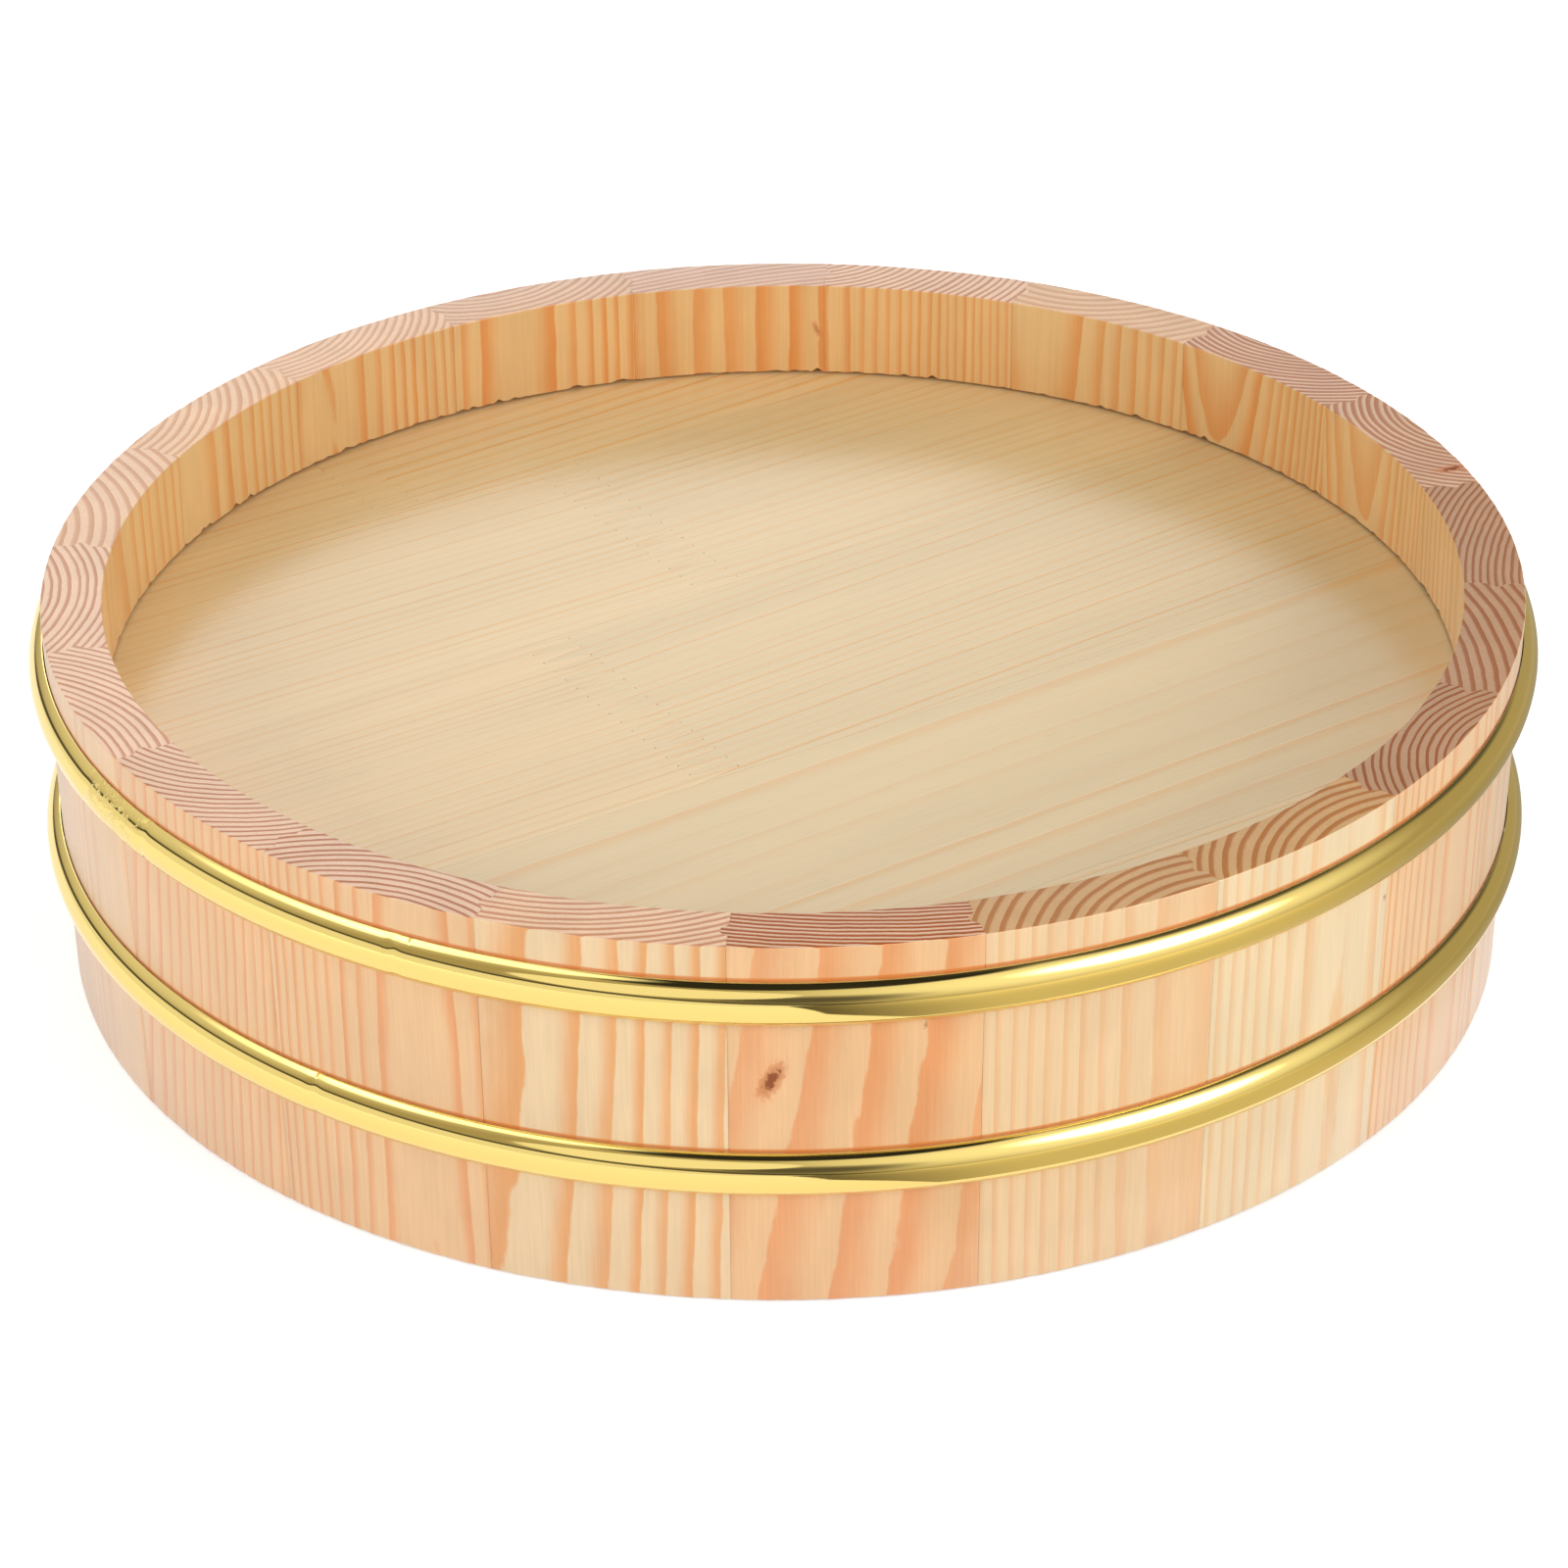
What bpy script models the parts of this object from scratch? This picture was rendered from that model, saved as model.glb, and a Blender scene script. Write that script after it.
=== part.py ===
"""Round wooden tub for sushi rice: pine staves inside two gold hoops, with a raised floor of boards.

The tub stands on z = 0, centred on the origin. Angles run counter-clockwise seen from above, from
the front of the tub at -Y. Lengths are in metres.
"""

import math

import bmesh
import bpy

# Wall
RIM_OUTER_RADIUS = 0.165
WALL_THICKNESS = 0.0136      # at the rim
WALL_TAPER = 0.0022          # how much the outside narrows from rim to base
TUB_HEIGHT = 0.086
STAVE_COUNT = 20
FIRST_JOINT = math.radians(-4.05)

# Tongue and groove between two staves
TONGUE_DEPTH = 0.0016
TONGUE_TIP = 0.0016          # flat width of the tongue's tip
TONGUE_SHOULDER = 0.0019     # flat left beside the tongue on either side

# Floor
FLOOR_DROP = 0.024           # from the rim down to the floor's top face
FLOOR_THICKNESS = 0.010
FLOOR_HOUSING = 0.003        # how deep the floor is let into the staves
EDGE_BOARD_WIDTH = 0.0405    # front and back boards, at their widest
MIDDLE_BOARDS = 3            # boards that share the width between those two
GRAIN_ANGLE = math.radians(33)

# Finger joints, each at a place along the grain from the tub's centre line
BACK_JOINT = -0.0343
SECOND_JOINT = 0.0078
MIDDLE_JOINT = -0.0405
FINGER_LENGTH = 0.011
FINGER_PITCH = 0.00473
FINGER_TIP = 0.0009
FINGER_CLEARANCE = 0.0008    # along the grain

# Hoops, rolled from sheet to a round-faced section
HOOP_HEIGHT = 0.0104
HOOP_DEPTH = 0.0035
HOOP_SHEET = 0.0008
UPPER_HOOP_DROP = 0.0131     # from the rim down to the hoop's middle
LOWER_HOOP_DROP = 0.0542

FIT_GAP = 0.0003             # between pieces that touch

# Facets
STEPS_PER_STAVE = 5
HOOP_OUTSIDE_STEPS = 6
HOOP_INSIDE_STEPS = 4

# Sizes that follow
INNER_RADIUS = RIM_OUTER_RADIUS - WALL_THICKNESS
HOUSING_RADIUS = INNER_RADIUS + FLOOR_HOUSING
BASE_OUTER_RADIUS = RIM_OUTER_RADIUS - WALL_TAPER
FLOOR_TOP = TUB_HEIGHT - FLOOR_DROP
FLOOR_BOTTOM = FLOOR_TOP - FLOOR_THICKNESS
PANEL_RADIUS = HOUSING_RADIUS - FIT_GAP
FINGER_JOINTS = {1: BACK_JOINT, 2: SECOND_JOINT, 3: MIDDLE_JOINT}    # by board, from the back
STAVE_ANGLE = 2 * math.pi / STAVE_COUNT
RING_STEPS = STAVE_COUNT * STEPS_PER_STAVE


def clear_scene():
    for obj in list(bpy.data.objects):
        bpy.data.objects.remove(obj, do_unlink=True)


def material(name, colour, roughness, metallic=0.0):
    made = bpy.data.materials.new(name)
    made.use_nodes = True
    shader = made.node_tree.nodes["Principled BSDF"]
    shader.inputs["Base Color"].default_value = (*colour, 1.0)
    shader.inputs["Roughness"].default_value = roughness
    shader.inputs["Metallic"].default_value = metallic
    made.diffuse_color = (*colour, 1.0)
    return made


def new_object(name, mesh):
    obj = bpy.data.objects.new(name, mesh)
    bpy.context.scene.collection.objects.link(obj)
    return obj


def closed_mesh(name, points, faces, finish=None):
    """A mesh from points and faces, turned to face out, smooth but for its sharp edges."""
    work = bmesh.new()
    corners = [work.verts.new(point) for point in points]
    for face in faces:
        work.faces.new([corners[index] for index in face])
    bmesh.ops.recalc_face_normals(work, faces=work.faces)
    mesh = bpy.data.meshes.new(name)
    work.to_mesh(mesh)
    work.free()
    mesh.shade_smooth()
    mesh.set_sharp_from_angle(angle=math.radians(30))
    if finish:
        mesh.materials.append(finish)
    return mesh


def prism(outline, bottom, top):
    """Points and faces of an outline raised from one height to another."""
    count = len(outline)
    points = [(x, y, z) for z in (bottom, top) for x, y in outline]
    faces = [[i, (i + 1) % count, (i + 1) % count + count, i + count] for i in range(count)]
    faces += [list(range(count)), list(range(count, 2 * count))]
    return points, faces


def plan_point(radius, angle):
    return radius * math.sin(angle), -radius * math.cos(angle)


def wall_radius(height):
    """Outer radius of the wall at a height above the base."""
    return BASE_OUTER_RADIUS + WALL_TAPER * height / TUB_HEIGHT


def edge_point(radius, side, inset):
    """Point on a stave's edge, at a radius, set in from the joint; side is -1 or 1."""
    edge = side * STAVE_ANGLE / 2
    along = math.sqrt(radius ** 2 - inset ** 2)
    x, y = plan_point(along, edge)
    return x - side * inset * math.cos(edge), y - side * inset * math.sin(edge)


def arc_points(radius):
    """Plan points across a stave's face, from its tongue edge to its grooved edge."""
    margin = math.asin(FIT_GAP / 2 / radius)
    reach = STAVE_ANGLE / 2 - margin
    steps = range(STEPS_PER_STAVE + 1)
    return [plan_point(radius, reach * (2 * step / STEPS_PER_STAVE - 1)) for step in steps]


def joint_points(side):
    """Plan points of the tongue (side -1) or the groove (side 1), from the inside outwards."""
    inner = HOUSING_RADIUS + TONGUE_SHOULDER
    outer = BASE_OUTER_RADIUS - TONGUE_SHOULDER
    slope = (outer - inner - TONGUE_TIP) / 2
    root = FIT_GAP / 2
    tip = root + side * TONGUE_DEPTH
    places = [(inner, root), (inner + slope, tip), (outer - slope, tip), (outer, root)]
    return [edge_point(radius, side, inset) for radius, inset in places]


def stave_mesh(finish):
    """One stave at the front: flat edges with tongue and groove, and the floor's housing inside."""
    points, faces = [], []

    def column(places):
        first = len(points)
        points.extend(places)
        return list(range(first, len(points)))

    def upright(plan):
        return column([(*plan, 0.0), (*plan, TUB_HEIGHT)])

    outside = [column([(*low, 0.0), (*high, TUB_HEIGHT)])
               for low, high in zip(arc_points(BASE_OUTER_RADIUS), arc_points(RIM_OUTER_RADIUS))]
    housing = (FLOOR_BOTTOM - FIT_GAP, FLOOR_TOP + FIT_GAP)
    inside = []
    for face, back in zip(arc_points(INNER_RADIUS), arc_points(HOUSING_RADIUS)):
        inside.append(column([(*face, 0.0), (*face, housing[0]), (*back, housing[0]),
                              (*back, housing[1]), (*face, housing[1]), (*face, TUB_HEIGHT)]))
    tongue = [upright(plan) for plan in joint_points(-1)]
    groove = [upright(plan) for plan in joint_points(1)]

    for left, right in zip(outside, outside[1:]):
        faces.append([left[0], right[0], right[1], left[1]])
    for left, right in zip(inside, inside[1:]):
        for low in range(len(left) - 1):
            faces.append([left[low], left[low + 1], right[low + 1], right[low]])
    for joint, inner, outer in ((tongue, inside[0], outside[0]), (groove, inside[-1], outside[-1])):
        for near, far in zip(joint, joint[1:] + [outer]):
            faces.append([near[0], far[0], far[1], near[1]])
        faces.append(inner + [joint[0][1], joint[0][0]])
    around = outside + groove[::-1] + inside[::-1] + tongue
    faces.append([place[0] for place in around])
    faces.append([place[-1] for place in around])
    return closed_mesh("stave", points, faces, finish)


def add_staves(finish):
    mesh = stave_mesh(finish)
    for number in range(STAVE_COUNT):
        stave = new_object(f"stave_{number + 1:02d}", mesh)
        stave.rotation_euler.z = FIRST_JOINT + (number + 0.5) * STAVE_ANGLE


def finger_line(place, low, high, last):
    """Zigzag across a board, as (along, across) points from its low edge up to its high edge.

    Whole fingers stop at last; beyond it the line runs straight."""
    half = FINGER_LENGTH / 2
    flat = FINGER_TIP / 2
    line = [(place - half, low)]
    for finger in range(int((last - low) / FINGER_PITCH)):
        start = low + finger * FINGER_PITCH
        middle = start + FINGER_PITCH / 2
        line += [(place - half, start + flat), (place + half, middle - flat),
                 (place + half, middle + flat), (place - half, start + FINGER_PITCH - flat)]
    return line + [(place - half, high)]


def panel_disc():
    """Cutter with the round outline of the whole floor."""
    outline = [plan_point(PANEL_RADIUS, FIRST_JOINT + 2 * math.pi * step / RING_STEPS)
               for step in range(RING_STEPS)]
    reach = 2 * FLOOR_THICKNESS
    disc = new_object("panel_disc", closed_mesh("panel_disc", *prism(outline, -reach, reach)))
    disc.location.z = (FLOOR_TOP + FLOOR_BOTTOM) / 2
    disc.hide_render = True
    disc.display_type = "WIRE"
    return disc


def add_board(name, outline, disc, finish):
    """One floor piece: a straight-sided board trimmed to the panel's round outline."""
    board = new_object(name, closed_mesh(name, *prism(outline, FLOOR_BOTTOM, FLOOR_TOP), finish))
    board.rotation_euler.z = GRAIN_ANGLE
    trim = board.modifiers.new("round_outline", "BOOLEAN")
    trim.operation = "INTERSECT"
    trim.solver = "EXACT"
    trim.object = disc


def glue_lines():
    """Places across the grain where two floor boards meet, from the back to the front."""
    back = PANEL_RADIUS - EDGE_BOARD_WIDTH
    return [back * (1 - 2 * line / MIDDLE_BOARDS) for line in range(MIDDLE_BOARDS + 1)]


def add_floor(finish):
    disc = panel_disc()
    reach = 2 * PANEL_RADIUS
    lines = [reach] + glue_lines() + [-reach]
    for number, (back, front) in enumerate(zip(lines, lines[1:]), start=1):
        low = front + FIT_GAP / 2
        high = back - FIT_GAP / 2
        name = f"floor_board_{number}"
        if number not in FINGER_JOINTS:
            outline = [(-reach, low), (reach, low), (reach, high), (-reach, high)]
            add_board(name, outline, disc, finish)
            continue
        joint = FINGER_JOINTS[number]
        arc_height = math.sqrt(PANEL_RADIUS ** 2 - (abs(joint) + FINGER_LENGTH) ** 2)
        line = finger_line(joint, low, high, min(high, arc_height - FINGER_PITCH))
        moved = [(along + FINGER_CLEARANCE, across) for along, across in line]
        add_board(name + "a", [(-reach, low)] + line + [(-reach, high)], disc, finish)
        add_board(name + "b", [(reach, high)] + moved[::-1] + [(reach, low)], disc, finish)


def hoop_section(middle):
    """Round-faced channel as (radius, height) points: down the outside, then up the inside."""
    half = HOOP_HEIGHT / 2

    def arc(half_height, depth, steps):
        radius = (half_height ** 2 + depth ** 2) / (2 * depth)
        reach = math.atan2(half_height, radius - depth)
        turns = [reach * (1 - 2 * step / steps) for step in range(steps + 1)]
        return [(radius * (math.cos(turn) - 1) + depth, radius * math.sin(turn)) for turn in turns]

    outside = arc(half, HOOP_DEPTH, HOOP_OUTSIDE_STEPS)
    inside = arc(half - HOOP_SHEET, HOOP_DEPTH - HOOP_SHEET, HOOP_INSIDE_STEPS)
    return [(wall_radius(middle + rise) + FIT_GAP + out, middle + rise)
            for out, rise in outside + inside[::-1]]


def add_hoop(name, drop, finish):
    section = hoop_section(TUB_HEIGHT - drop)
    count = len(section)
    points = []
    for step in range(RING_STEPS):
        angle = FIRST_JOINT + 2 * math.pi * step / RING_STEPS
        points += [(*plan_point(radius, angle), height) for radius, height in section]
    faces = []
    for step in range(RING_STEPS):
        here, there = step * count, (step + 1) % RING_STEPS * count
        for index in range(count):
            after = (index + 1) % count
            faces.append([here + index, here + after, there + after, there + index])
    new_object(name, closed_mesh(name, points, faces, finish))


def main():
    clear_scene()
    stave_pine = material("stave_pine", (0.83, 0.60, 0.38), 0.55)
    floor_pine = material("floor_pine", (0.80, 0.68, 0.45), 0.5)
    gold_plate = material("gold_plate", (0.83, 0.66, 0.22), 0.15, metallic=1.0)
    add_staves(stave_pine)
    add_floor(floor_pine)
    add_hoop("upper_hoop", UPPER_HOOP_DROP, gold_plate)
    add_hoop("lower_hoop", LOWER_HOOP_DROP, gold_plate)


main()
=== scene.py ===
"""Looks of the sushi rice tub: pine staves and floor boards with their own growth rings, gold hoops,
a plain white studio and a camera at the photograph's viewing angle.

Angles run counter-clockwise seen from above, from the front of the tub at -Y. Lengths are in metres
where no comment says otherwise.
"""

import math
import random
from collections import namedtuple

import bmesh
import bpy
import numpy as np
from mathutils import Matrix, Vector


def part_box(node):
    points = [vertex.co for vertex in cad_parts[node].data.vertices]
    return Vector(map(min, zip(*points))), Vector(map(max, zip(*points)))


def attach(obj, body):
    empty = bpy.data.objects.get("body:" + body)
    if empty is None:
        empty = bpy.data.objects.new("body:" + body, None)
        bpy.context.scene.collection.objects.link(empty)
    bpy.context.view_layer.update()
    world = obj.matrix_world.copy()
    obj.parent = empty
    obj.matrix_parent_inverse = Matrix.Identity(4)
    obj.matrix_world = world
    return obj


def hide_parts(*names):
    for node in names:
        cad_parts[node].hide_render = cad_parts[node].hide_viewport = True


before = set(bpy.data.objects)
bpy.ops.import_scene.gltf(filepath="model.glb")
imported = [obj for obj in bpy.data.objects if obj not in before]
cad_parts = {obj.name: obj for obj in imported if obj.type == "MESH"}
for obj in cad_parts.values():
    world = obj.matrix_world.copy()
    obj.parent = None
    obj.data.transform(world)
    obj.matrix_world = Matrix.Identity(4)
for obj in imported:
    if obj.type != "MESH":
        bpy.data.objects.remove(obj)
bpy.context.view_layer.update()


def colour(red, green, blue):
    """A linear colour from one as a screen shows it."""
    values = (red / 255, green / 255, blue / 255)
    return tuple(v / 12.92 if v <= 0.04045 else ((v + 0.055) / 1.055) ** 2.4 for v in values) + (1.0,)


# Sizes read from the frame
stave_points = np.array([vertex.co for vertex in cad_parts["stave_01"].data.vertices])
stave_radii = np.hypot(stave_points[:, 0], stave_points[:, 1])
TUB_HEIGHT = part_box("stave_01")[1].z
RIM_RADIUS = float(stave_radii[stave_points[:, 2] > TUB_HEIGHT / 2].max())
BASE_RADIUS = float(stave_radii[stave_points[:, 2] < TUB_HEIGHT / 2].max())
INNER_RADIUS = float(stave_radii.min())
FLOOR_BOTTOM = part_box("floor_board_4")[0].z
FLOOR_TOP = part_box("floor_board_4")[1].z
STAVE_COUNT = sum(name.startswith("stave_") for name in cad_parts)
STAVE_ANGLE = 2 * math.pi / STAVE_COUNT

# Staves
FIRST_JOINT = math.radians(-4.05)
HOUSING_DEPTH = 0.003        # how deep the floor is let into the staves
TONGUE_DEPTH = 0.0016
TONGUE_TIP = 0.0016
TONGUE_SHOULDER = 0.0019
JOINT_GAP = 0.00005          # hairline between two glued pieces
JOINT_EASE = 0.00012         # worn edge beside a joint
EDGE_ROUND = 0.0004          # rounding of the rim and base edges
ROUND_SPREAD = (0.6, 1.3)    # least and greatest share of that rounding
LIP_GAP = 0.0006             # between the floor and the wall above it
CHIP_SHARE = 0.5             # share of the lip's points that are chipped
CHIP_DEPTH = 0.00025         # mean depth of a chip
CHIP_LIMIT = 0.001           # greatest depth of a chip
STAVE_STEPS = 34
ROUND_STEPS = 3
STAVE_SEED = 7

# Floor boards
GRAIN_ANGLE = math.radians(33)
PANEL_GAP = 0.0003           # between the floor's edge and the bottom of its housing
PANEL_RADIUS = INNER_RADIUS + HOUSING_DEPTH - PANEL_GAP
EDGE_BOARD_WIDTH = 0.0405
MIDDLE_BOARDS = 3
FINGER_JOINTS = {1: -0.0343, 2: 0.0078, 3: -0.0405}    # board number and place along the grain
FINGER_LENGTH = 0.011
FINGER_PITCH = 0.00473
FINGER_TIP = 0.0007
FINGER_GAP = 0.00012         # along the grain
PANEL_STEP = math.radians(1.5)
FLOOR_SEED = 11

# Hoops
HOOPS = ("upper_hoop", "lower_hoop")
HOOP_GAP = 0.0003            # between a hoop and the wall
HOOP_SHEET = 0.0008
HOOP_EDGE = 0.0005           # rounding of the hoop's two edges
HOOP_SPARE = 0.00001         # kept free inside the CAD hoop's width
PAINTED_GLOW_HEIGHT = 0.0006           # height of the painted glow: warm light that a hoop reflects onto the wood above it
EDGE_STEPS = 5
HOOP_STEPS = 24
HOOP_TURNS = 360
# Small dents: angle in degrees, half width in degrees, depth
HOOP_DENTS = {
    "upper_hoop": [(-53, 0.5, 0.0002), (-28.2, 0.5, 0.0002), (-62, 0.8, 0.0001), (-58, 0.6, 0.0001)],
    "lower_hoop": [(-36, 0.5, 0.0002)],
}
DENT_STEP = 0.15             # degrees between points near a dent
DENT_REACH = 3               # half widths to either side of a dent that have such points
SCUFFED = (-62, -53)         # stretch of scratches on the upper hoop, in degrees
SCUFF_FADE = 0.03            # radians over which the scratches begin and end
SCUFF_RISE = (0.7, 0.75)     # shares of the tub's height, between the two hoops

SHARP_ANGLE = math.radians(35)

# Camera
LENS = 123.75
CAMERA_DISTANCE = 1.2063     # from the middle of the rim
CAMERA_RISE = math.radians(27.2)
CAMERA_PITCH = math.radians(29.53)
CAMERA_ROLL = math.radians(-0.35)

# How each stave was cut from its log, in millimetres: the pith's place across the stave and out from
# its inner face, and the width of a year's ring. Then shares: peach rather than cream, how strong and
# how wide the late wood is, pink rather than tan end grain, how dark its rings are, how light its end
# grain is, the grain's lean out from the stave's outer face and where in a year the rings start. The end
# grain's lightness is painted light and sheen: lighter at the left and back of the rim, darker at the
# right.
StaveWood = namedtuple("StaveWood", "across out ring peach late width pink dark light lean phase",
                       defaults=(0.0, 0.0))
STAVES = [
    StaveWood(18, -152, 1.45, 1.00, 0.90, 0.75, 0.70, 1.00, 0.98, -0.0165, -0.17),
    StaveWood(22, 36, 3.1, 0.45, 0.45, 0.50, 0.20, 0.65, 0.84),
    StaveWood(13, 38, 2.8, 0.05, 0.50, 0.55, 0.10, 0.72, 0.83),
    StaveWood(6, 42, 1.9, 0.80, 0.90, 0.45, 0.45, 0.80, 0.67),
    StaveWood(-40, -110, 2.7, 0.70, 0.60, 0.50, 0.45, 0.68, 0.69),
    StaveWood(-40, 110, 1.7, 0.30, 0.80, 0.55, 0.50, 0.64, 0.70, -0.04),
    StaveWood(8, 36, 1.9, 0.35, 0.85, 0.75, 0.75, 0.64, 0.95, -0.08, 0.5),
    StaveWood(14.5, 40, 1.8, 0.40, 0.95, 0.80, 0.85, 0.65, 0.99, -0.09, 0.5),
    StaveWood(20, 36, 3.0, 0.35, 0.85, 0.65, 0.60, 0.28, 1.05, -0.06, 0.5),
    StaveWood(35, 25, 2.0, 0.60, 0.85, 0.55, 0.80, 0.60, 1.09, -0.03),
    StaveWood(-45, -160, 2.2, 0.55, 1.00, 0.75, 1.00, 0.33, 1.05, -0.026),
    StaveWood(8, 36, 2.2, 0.50, 1.00, 0.60, 0.80, 0.36, 1.05, -0.026, 0.5),
    StaveWood(18, 40, 2.0, 0.45, 0.95, 0.60, 0.70, 0.33, 1.14, -0.02),
    StaveWood(25, 45, 2.4, 0.35, 0.80, 0.60, 0.62, 0.32, 1.16, -0.01),
    StaveWood(30, 50, 3.0, 0.45, 0.70, 0.55, 0.70, 0.35, 1.13, 0.01),
    StaveWood(-4, 58, 2.0, 0.50, 0.60, 0.50, 0.80, 0.52, 1.14),
    StaveWood(20, 48, 2.0, 0.80, 0.50, 0.50, 0.80, 0.57, 1.16),
    StaveWood(-30, -35, 1.9, 1.00, 0.80, 0.45, 0.75, 0.76, 1.08, 0.05),
    StaveWood(14, 45, 2.1, 0.90, 0.90, 0.50, 0.80, 0.75, 1.05, 0.008, 0.5),
    StaveWood(-18.5, -56.5, 2.0, 0.30, 1.00, 0.60, 0.60, 0.63, 1.10, 0.0135, -0.49),
]
SIDE_LEAN = 0.01             # greatest sideways lean of the grain in a stave that has no lean of its own

# Small knots: stave number, place across, out and up, and radius, in millimetres
KNOTS = {
    1: (-17.0, 11.5, 54.5, 1.6),
    11: (-22.0, 0.0, 74.0, 0.8),
    7: (-17.5, 9.5, 86.0, 1.1),
}
NO_KNOT = (0, 0, -1000, 1)   # far below the tub
KNOT_SWELL = 0.0003          # how far a knot pushes the rings aside

# The same for the floor pieces: the pith across and up from the floor's top, and the ring's width, in
# millimetres, then how far the grain leans, the share of peach and the late wood's strength
FloorWood = namedtuple("FloorWood", "across up ring lean peach late")
FLOOR_WOOD = {
    "floor_board_1a": FloorWood(-200, -60, 3.2, 0.00, 0.65, 0.75),
    "floor_board_1b": FloorWood(-200, -60, 4.2, 0.05, 0.70, 1.00),
    "floor_board_2a": FloorWood(-220, -40, 2.9, 0.00, 0.65, 0.65),
    "floor_board_2b": FloorWood(200, -70, 3.4, 0.025, 0.50, 0.50),
    "floor_board_3a": FloorWood(-180, -45, 2.6, 0.00, 0.80, 0.65),
    "floor_board_3b": FloorWood(190, -60, 3.0, 0.06, 0.40, 0.90),
    "floor_board_4": FloorWood(-240, -110, 7.4, 0.035, 0.35, 0.65),
    "floor_board_5": FloorWood(220, -60, 3.4, 0.00, 0.40, 0.60),
}
FLOOR_LATE_WIDTH = 0.40
FLOOR_PATTERNS = (20, 90)    # range of the numbers that tell the boards' patterns apart

# Waves in the rings: how many per metre across and along the grain, and their share of the sway
GRAIN_WAVES = ((30, 9, 1), (140, 30, 1 / 2), (200, 80, 1 / 3), (900, 400, 1 / 14))
STAVE_SWAY = 0.0010
FLOOR_SWAY = 0.0012
STAVE_EVENNESS = 0.7         # how alike the years are, from 0 to 1
FLOOR_EVENNESS = 0.15
STAVE_BUMP = 0.00012
FLOOR_BUMP = 0.00005
SCRATCH_BUMP = 0.00008

# Staves along the grain, from cream to peach
CREAM_EARLY = colour(242, 216, 172)
PEACH_EARLY = colour(242, 194, 140)
CREAM_LATE = colour(236, 168, 94)
PEACH_LATE = colour(237, 154, 90)
INNER_TINT = (0.84, 0.76, 0.59, 1.0)
# End grain of the staves, from tan to pink
TAN_EARLY = colour(230, 182, 120)
PINK_EARLY = colour(231, 197, 174)
TAN_LATE = colour(190, 107, 30)
PINK_LATE = colour(164, 74, 34)
PORE = colour(196, 142, 100)
# Marks on the staves, the painted glow above the hoops and the tint of the sheen
KNOT_EDGE = colour(208, 128, 78)
KNOT_HEART = colour(122, 58, 34)
FLECK = colour(168, 96, 58)
# painted glow: warm light reflected from a hoop onto the wood above it
PAINTED_HOOP_GLOW = colour(226, 124, 20)
WOOD_SHEEN = (0.88, 0.90, 1.0, 1.0)
# Floor boards, from straw to peach, and the hoops
FLOOR_STRAW = colour(216, 191, 140)
FLOOR_PEACH = colour(229, 196, 142)
FLOOR_LATE = colour(222, 170, 98)
GOLD = colour(239, 212, 128)

# Studio
WHITE = (1.0, 1.0, 1.0, 1.0)
SHEET_WHITE = (0.66, 0.66, 0.66, 1.0)
SHEET_LIFT = 0.58            # brightness that the white floor adds to its own shade
SHEET_REACH = 6.0
SHEET_DROP = 0.0004          # how far the white floor lies below the tub
AIR_STRENGTH = 0.48
LAMP_TARGET = (0.0, 0.0, 0.05)
# Square lamps: place, side and watts
LAMPS = {
    "right_softbox": ((1.31, -0.95, 0.55), 0.8, 14.0),
    "left_softbox": ((-1.29, -0.87, 0.55), 0.8, 10.5),
    "top_softbox": ((-0.15, 0.15, 1.1), 0.6, 1.3),
    "back_softbox": ((0.71, 1.24, 0.51), 0.6, 4.0),
}
ROOM_GLOW = (0.46, 0.42, 0.32, 1.0)
# The studio's brightness by direction, each laid over the one before: angle round from the front, angle
# of rise, inner and outer reach of the patch in degrees, and its brightness
DOME = [
    (-135, 55, 15, 55, 0.85),
    (52, 36, 0, 50, 1.25),
    (0, 80, 17, 22, 0.03),
    (125, 64, 12, 24, 0.10),
    (137, 38, 8, 18, 0.12),
    (3, 22, 0, 18, 0.12),
    (-65, -60, 84, 88, 0.08),
    (-65, -60, 79, 81, 1.0),
    (-20, 38, 17, 18, 1.1),
    (-105, 50, 1, 13, 1.8),
    (-91, 60, 1, 16, 3.2),
    (-74, 68, 1, 13, 2.2),
    (59, 38, 1, 20, 7.3),
    (190, 24, 8, 26, 2.55),
]
DOME_RADIUS = 3.0
DOME_FOOT = -0.01            # height below which the dome is cut off
DOME_TURNS = 48
DOME_RISES = 24
# Left edge of the dull card on the table: distance from the middle of the tub, and angle in degrees
CARD_EDGE = ((0.1735, 12.5), (0.2, 9), (0.222, 6.5), (0.25, 4), (0.34, 3), (2.9, 0))
CARD_END = 150               # angle of its right edge in degrees
CARD_MIDDLE = 0.95           # angle in radians at which its far part is brightest
CARD_HEIGHT = 0.0008
CARD_STEPS = 20


def plan_point(radius, angle):
    return radius * math.sin(angle), -radius * math.cos(angle)


def wall_radius(height):
    return BASE_RADIUS + (RIM_RADIUS - BASE_RADIUS) * height / TUB_HEIGHT


def metres(*millimetres):
    return [length / 1000 for length in millimetres]


def make_mesh(name, points, faces):
    work = bmesh.new()
    corners = [work.verts.new(point) for point in points]
    for face in faces:
        work.faces.new([corners[index] for index in face])
    bmesh.ops.recalc_face_normals(work, faces=work.faces)
    mesh = bpy.data.meshes.new(name)
    work.to_mesh(mesh)
    work.free()
    mesh.shade_smooth()
    mesh.set_sharp_from_angle(angle=SHARP_ANGLE)
    return mesh


def add_object(name, data):
    made = bpy.data.objects.new(name, data)
    bpy.context.scene.collection.objects.link(made)
    return made


def dress(name, mesh, node, finish, turn=0.0):
    """Adds a mesh as the visible piece that stands for a CAD node."""
    mesh.transform(Matrix.Rotation(turn, 4, "Z"))
    mesh.materials.append(finish)
    piece = add_object(name, mesh)
    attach(piece, "root")
    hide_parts(node)


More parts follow.
